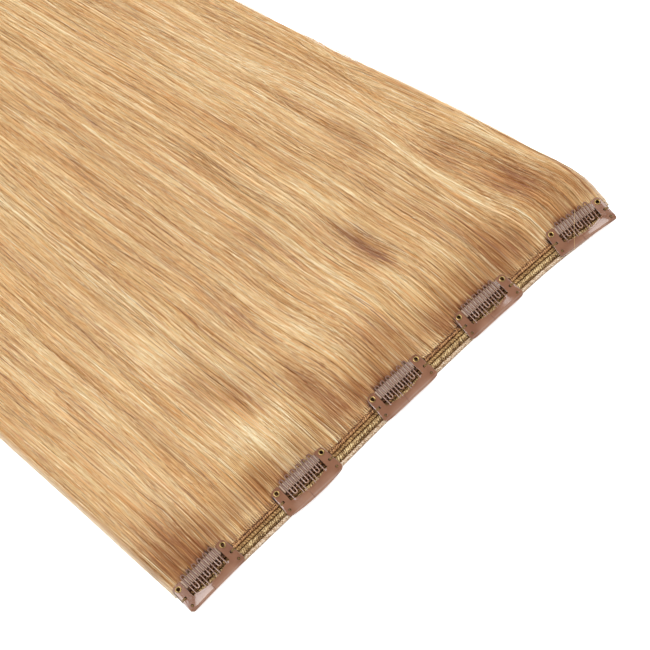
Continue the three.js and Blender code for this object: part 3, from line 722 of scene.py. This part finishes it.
def bent_wire(path, radius, resolution=2):
    """A round wire along points in millimetres, as a mesh."""
    bpy.ops.object.select_all(action="DESELECT")
    curve = bpy.data.curves.new("wire", "CURVE")
    curve.dimensions, curve.bevel_depth, curve.bevel_resolution, curve.use_fill_caps = "3D", radius, resolution, True
    spline = curve.splines.new("POLY")
    spline.points.add(len(path) - 1)
    spline.points.foreach_set("co", [c for p in path for c in (*p, 1)])
    bent = bpy.data.objects.new("wire", curve)
    bpy.context.scene.collection.objects.link(bent)
    bent.select_set(True)
    bpy.context.view_layer.objects.active = bent
    bpy.ops.object.convert(target="MESH")
    return bent


def joined(pieces):
    bpy.ops.object.select_all(action="DESELECT")
    for piece in pieces:
        piece.select_set(True)
    bpy.context.view_layer.objects.active = pieces[0]
    bpy.ops.object.join()
    return pieces[0]


# The comb: twelve round legs of painted spring wire in three M-shaped groups, whose tips bend
# back into each other, on a root strip stamped in one with the plate.
root_rim = [(x, band_inner(x) - 0.95) for x in np.linspace(-comb_half, comb_half, 25)]
root_rim += [(x, band_inner(x)) for x in np.linspace(comb_half, -comb_half, 25)]
comb_root = flat_plate([root_rim], plate_thick, 0.1)
cut_across(comb_root, np.linspace(-9, 9, 19))
for vertex in comb_root.data.vertices:
    vertex.co.z += plate_bottom + plate_thick / 2 + bow_at(vertex.co.x)
comb_root.data.update()
pitch, first_leg = 1.73, -9.515
loop_radius = pitch / 2
tip_y, bend_y = 3.8 - 0.25 - loop_radius, -5.8 + loop_radius
legs = []
for group in range(3):
    legs_x = [first_leg + (4 * group + leg) * pitch for leg in range(4)]
    flat = [(legs_x[0], band_inner(legs_x[0]) - 0.5)]
    for i, (centre, side) in enumerate(((tip_y, 1), (bend_y, -1), (tip_y, 1))):
        middle = (legs_x[i] + legs_x[i + 1]) / 2
        for a in np.linspace(0, math.pi, 11):
            flat.append((middle - loop_radius * math.cos(a), centre + side * loop_radius * math.sin(a)))
    flat.append((legs_x[3], band_inner(legs_x[3]) - 0.5))
    height = plate_bottom + 0.28
    leg = bent_wire([(x, y, 0) for x, y in flat], 0.33)
    for vertex in leg.data.vertices:
        x, y, z = vertex.co
        vertex.co.z = 0.8 * z + height + bow_at(x)
    legs.append(leg)
comb = joined([comb_root, *legs])
comb_mesh = comb.data
leg_y = np.array([vertex.co.y for vertex in comb_mesh.vertices])
leg_x = np.array([vertex.co.x for vertex in comb_mesh.vertices])
on_leg = leg_y > [band_inner(x) + 0.02 for x in leg_x]
# Painted highlight and shade on the legs: paler where they cross the windows, darker and duller where they lie over the
# sleeve and at their tips.
pale = np.where(on_leg, np.clip((-leg_y - 1.4) / 1.5, 0, 1) * 1.15 - 0.7, 0)
comb_mesh.attributes.new("pale", "FLOAT", "POINT").data.foreach_set("value", pale.astype(np.float32))

# The sleeve: soft silicone over the rear bar, on which the comb grips the hair. It is pressed
# down under each leg and bulges between them.
sleeve_middle, sleeve_size = 2.95, (22.03, 4.5, 1.4)
bpy.ops.object.select_all(action="DESELECT")
bpy.ops.mesh.primitive_cube_add(size=1, location=(0, -0.15, sleeve_middle))
sleeve = bpy.context.object
sleeve.scale = sleeve_size
bpy.ops.object.transform_apply(location=True, rotation=True, scale=True)
bpy.ops.object.mode_set(mode="EDIT")
bpy.ops.mesh.select_all(action="SELECT")
bpy.ops.mesh.bevel(offset=0.42, segments=3, affect="EDGES")
bpy.ops.object.mode_set(mode="OBJECT")
leg_places = np.array([first_leg + leg * pitch for leg in range(12)])
beside_leg = (-0.55, -0.4, -0.22, 0, 0.22, 0.4, 0.55, loop_radius)
cut_across(sleeve, [place + off for place in leg_places for off in beside_leg])
sleeve_mesh = sleeve.data
groove = []
for vertex in sleeve_mesh.vertices:
    x, y, z = vertex.co
    aside = x - leg_places[np.argmin(np.abs(leg_places - x))]
    crest = 0.3 * min(math.sin(math.pi / 2 * min(abs(aside) / loop_radius, 1)) ** 2, 0.5 if abs(aside) > 0.9 else 1)
    if z > sleeve_middle:
        share = (z - sleeve_middle) / (sleeve_size[2] / 2)
        vertex.co.z = sleeve_middle + share * (plate_bottom + bow_at(x) - 0.05 + crest - sleeve_middle)
    # Painted shadow: the silicone darkens in a line beside each leg, more on one side than the other.
    groove.append(math.exp(-((aside - 0.42) / 0.27) ** 2) + 0.7 * math.exp(-((aside + 0.38) / 0.2) ** 2))
sleeve_mesh.attributes.new("groove", "FLOAT", "POINT").data.foreach_set("value", groove)

silicone, shader, wire = new_finish("pale_silicone", Roughness=0.32, Specular_IOR_Level=0.5)
speck = wire.noise((2400, 2400, 2400), 2, 0.6)
colour = wire.node("ValToRGB", {"stops": ((0.3, rgb(158, 128, 106)), (0.7, rgb(180, 149, 127)))}, {0: speck})
# Painted shadow of the legs on the silicone.
groove = wire.node("Attribute", {"attribute_name": "groove"}, out=2)
colour = colour.tint(groove.clamp(0, 1) * 0.9, (*rgb(60, 36, 24), 1))
feed(shader, "Base Color", colour)
feed(shader, "Normal", wire.node("Bump", None, {"Strength": 0.3, "Distance": 0.00005, "Height": speck}))

# The eyelets: two short brass tubes on each clip. Each passes through a tab and the rear bar, and
# its ends are rolled outwards, which rivets the two together.
eyelet_profile = [
    (0.78, 2.3), (1.4, 2.3), (1.4, 2.5), (0.95, 2.55), (0.95, 4.32), (1.4, 4.34), (1.48, 4.42), (1.44, 4.56),
    (1.26, 4.66), (1.05, 4.64), (0.88, 4.54), (0.78, 4.35),
]
steps = 32
turns = [2 * math.pi * i / steps for i in range(steps)]
points = [(r * math.cos(a), r * math.sin(a), z) for a in turns for r, z in eyelet_profile]
size = len(eyelet_profile)
faces = []
for i in range(steps):
    here, after = i * size, (i + 1) % steps * size
    for j in range(size):
        above = (j + 1) % size
        faces.append((here + j, after + j, after + above, here + above))
brass, shader, wire = new_finish("brass", Metallic=1.0, Roughness=0.28)
worn = wire.noise((700, 700, 700), 3, 0.6)
brass_tones = ((0.3, rgb(108, 84, 50)), (0.7, rgb(190, 160, 106)))
feed(shader, "Base Color", wire.node("ValToRGB", {"stops": brass_tones}, {0: worn}))
feed(shader, "Roughness", 0.2 + worn * 0.25)

# The sewing threads: twisted thread in the colour of the hair. Three strands pass through each
# hole of the tabs and tie the clip to the weft.
thread, shader, wire = new_finish("golden_brown_thread", Roughness=0.65)
twist = wire.noise((2500, 2500, 2500), 2, 0.6)
thread_tones = ((0.3, rgb(88, 62, 28)), (0.7, rgb(164, 130, 74)))
feed(shader, "Base Color", wire.node("ValToRGB", {"stops": thread_tones}, {0: twist}))

stitches = []
top = plate_bottom + plate_thick + bow_at(notch)
long_stitch = [(0, -0.9), (0.05, 0.02), (0.4, 0.15), (1.2, 0.1), (1.85, -0.05), (2.3, -0.5), (2.4, -1.3)]
short_stitch = [(-0.3, -0.9), (-0.2, -0.25), (0.05, -0.1), (0.3, -0.25), (0.4, -0.9)]
for side in (-1, 1):
    for x, y, path, radius in ((14.5, -4.97, long_stitch, 0.15), (14.7, -9.5, short_stitch, 0.16)):
        for spare in (-0.27, -0.02, 0.24):
            line = [(side * (x + out), y + spare * (1 + 0.3 * out), top + up) for out, up in path]
            stitches.append(bent_wire(line, radius, 1))
threads = joined(stitches)
thread_mesh = threads.data


def placed(name, mesh, material, clip, replaced=(), offset=0.0):
    """A copy of a clip's mesh, set where that clip lies."""
    number, x, y, turn = clip
    copy = mesh.copy()
    copy.transform(Matrix.Translation((offset, 0, 0)))
    copy.transform(Matrix.Scale(mm, 4) @ Matrix.Translation((x, y, 0)) @ Matrix.Rotation(turn, 4, "Z"))
    copy.materials.clear()
    copy.materials.append(material)
    piece = bpy.data.objects.new(f"clip_{number}_{name}", copy)
    bpy.context.scene.collection.objects.link(piece)
    bpy.ops.object.select_all(action="DESELECT")
    piece.select_set(True)
    bpy.context.view_layer.objects.active = piece
    bpy.ops.object.shade_smooth_by_angle(angle=math.radians(20 if name == "painted_frame" else 40))
    for node in replaced:
        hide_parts(node)
    return piece


# Each clip's band: how far it turns, how long its roll is, and how late it turns.
band_rolls = ((7.3, 1.0, 5), (0.8, 1.14, 3), (1.9, 1.0, 3), (2.45, 1.0, 3), (19.0, 1.0, 5))
eyelet_mesh = bpy.data.meshes.new("eyelet")
eyelet_mesh.from_pydata(points, [], faces)
for clip in clips:
    number, x, y, turn = clip
    key = f"clip_{number}"
    bent = rolled_frame(*band_rolls[number - 1])
    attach(placed("painted_frame", bent, paint, clip, [key + "_frame"]), "weft_and_hair")
    bpy.data.meshes.remove(bent)
    wires = placed("painted_comb", comb_mesh, paint, clip, [key + "_comb"])
    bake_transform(wires)
    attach(placed("soft_sleeve", sleeve_mesh, silicone, clip, [key + "_silicone_sleeve"]), "weft_and_hair")
    for side, sign in (("left", -1), ("right", 1)):
        replaced = [f"{key}_eyelet_{side}"]
        eyelet = placed("rolled_eyelet_" + side, eyelet_mesh, brass, clip, replaced, 14.0 * sign)
        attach(eyelet, "weft_and_hair")
    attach(placed("sewing_threads", thread_mesh, thread, clip), "weft_and_hair")
    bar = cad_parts[key + "_rear_bar"]
    bar.data.materials.clear()
    bar.data.materials.append(paint)
for spare in (frame_sheet, comb, sleeve, threads):
    bpy.data.objects.remove(spare)


# The table: a plain white floor under soft studio light, seen from above the weft.
bpy.ops.object.select_all(action="DESELECT")
bpy.ops.mesh.primitive_plane_add(size=6, location=(0, 0, 0))
floor = bpy.context.object
white, shader, wire = new_finish("white_table", Roughness=0.9, Specular_IOR_Level=0.1)
shader.inputs["Base Color"].default_value = (0.98, 0.98, 0.98, 1)
shader.inputs["Emission Color"].default_value = (1, 1, 1, 1)
shader.inputs["Emission Strength"].default_value = 0.6
floor.data.materials.append(white)

world = bpy.data.worlds.new("studio")
world.use_nodes = True
world.node_tree.nodes["Background"].inputs["Color"].default_value = (1, 1, 1, 1)
world.node_tree.nodes["Background"].inputs["Strength"].default_value = 0.38
bpy.context.scene.world = world


def softbox(name, place, size, power):
    light = bpy.data.lights.new(name, "AREA")
    light.shape, light.size, light.size_y, light.energy = "RECTANGLE", size[0], size[1], power
    lamp = bpy.data.objects.new(name, light)
    bpy.context.scene.collection.objects.link(lamp)
    lamp.location = place


softbox("softbox_left", (-0.54, 0.5, 1.6), (1.0, 1.1), 20.2)
softbox("softbox_right", (1.27, 0.5, 1.6), (1.0, 1.1), 17.2)
softbox("softbox_front", (0.2, -0.85, 1.5), (1.8, 0.7), 6)

camera_data = bpy.data.cameras.new("camera")
focal_pixels, photo_pixels, sensor_width = 1979.7, 650, 36
camera_data.lens = focal_pixels / photo_pixels * sensor_width
camera_data.sensor_width = sensor_width
camera = bpy.data.objects.new("camera", camera_data)
bpy.context.scene.collection.objects.link(camera)
azimuth, elevation, away = math.radians(-43.54), math.radians(72), 0.9248
aim = Vector((-0.00155, 0.04995, 0))
back = Vector((math.sin(azimuth) * math.cos(elevation), -math.cos(azimuth) * math.cos(elevation), math.sin(elevation)))
across_view = Vector((math.cos(azimuth), math.sin(azimuth), 0))
up_view = back.cross(across_view)
facing = Matrix((across_view, up_view, back)).transposed().to_4x4()
camera.matrix_world = Matrix.Translation(aim + back * away) @ facing
bpy.context.scene.camera = camera
bpy.context.scene.view_settings.view_transform = "Standard"
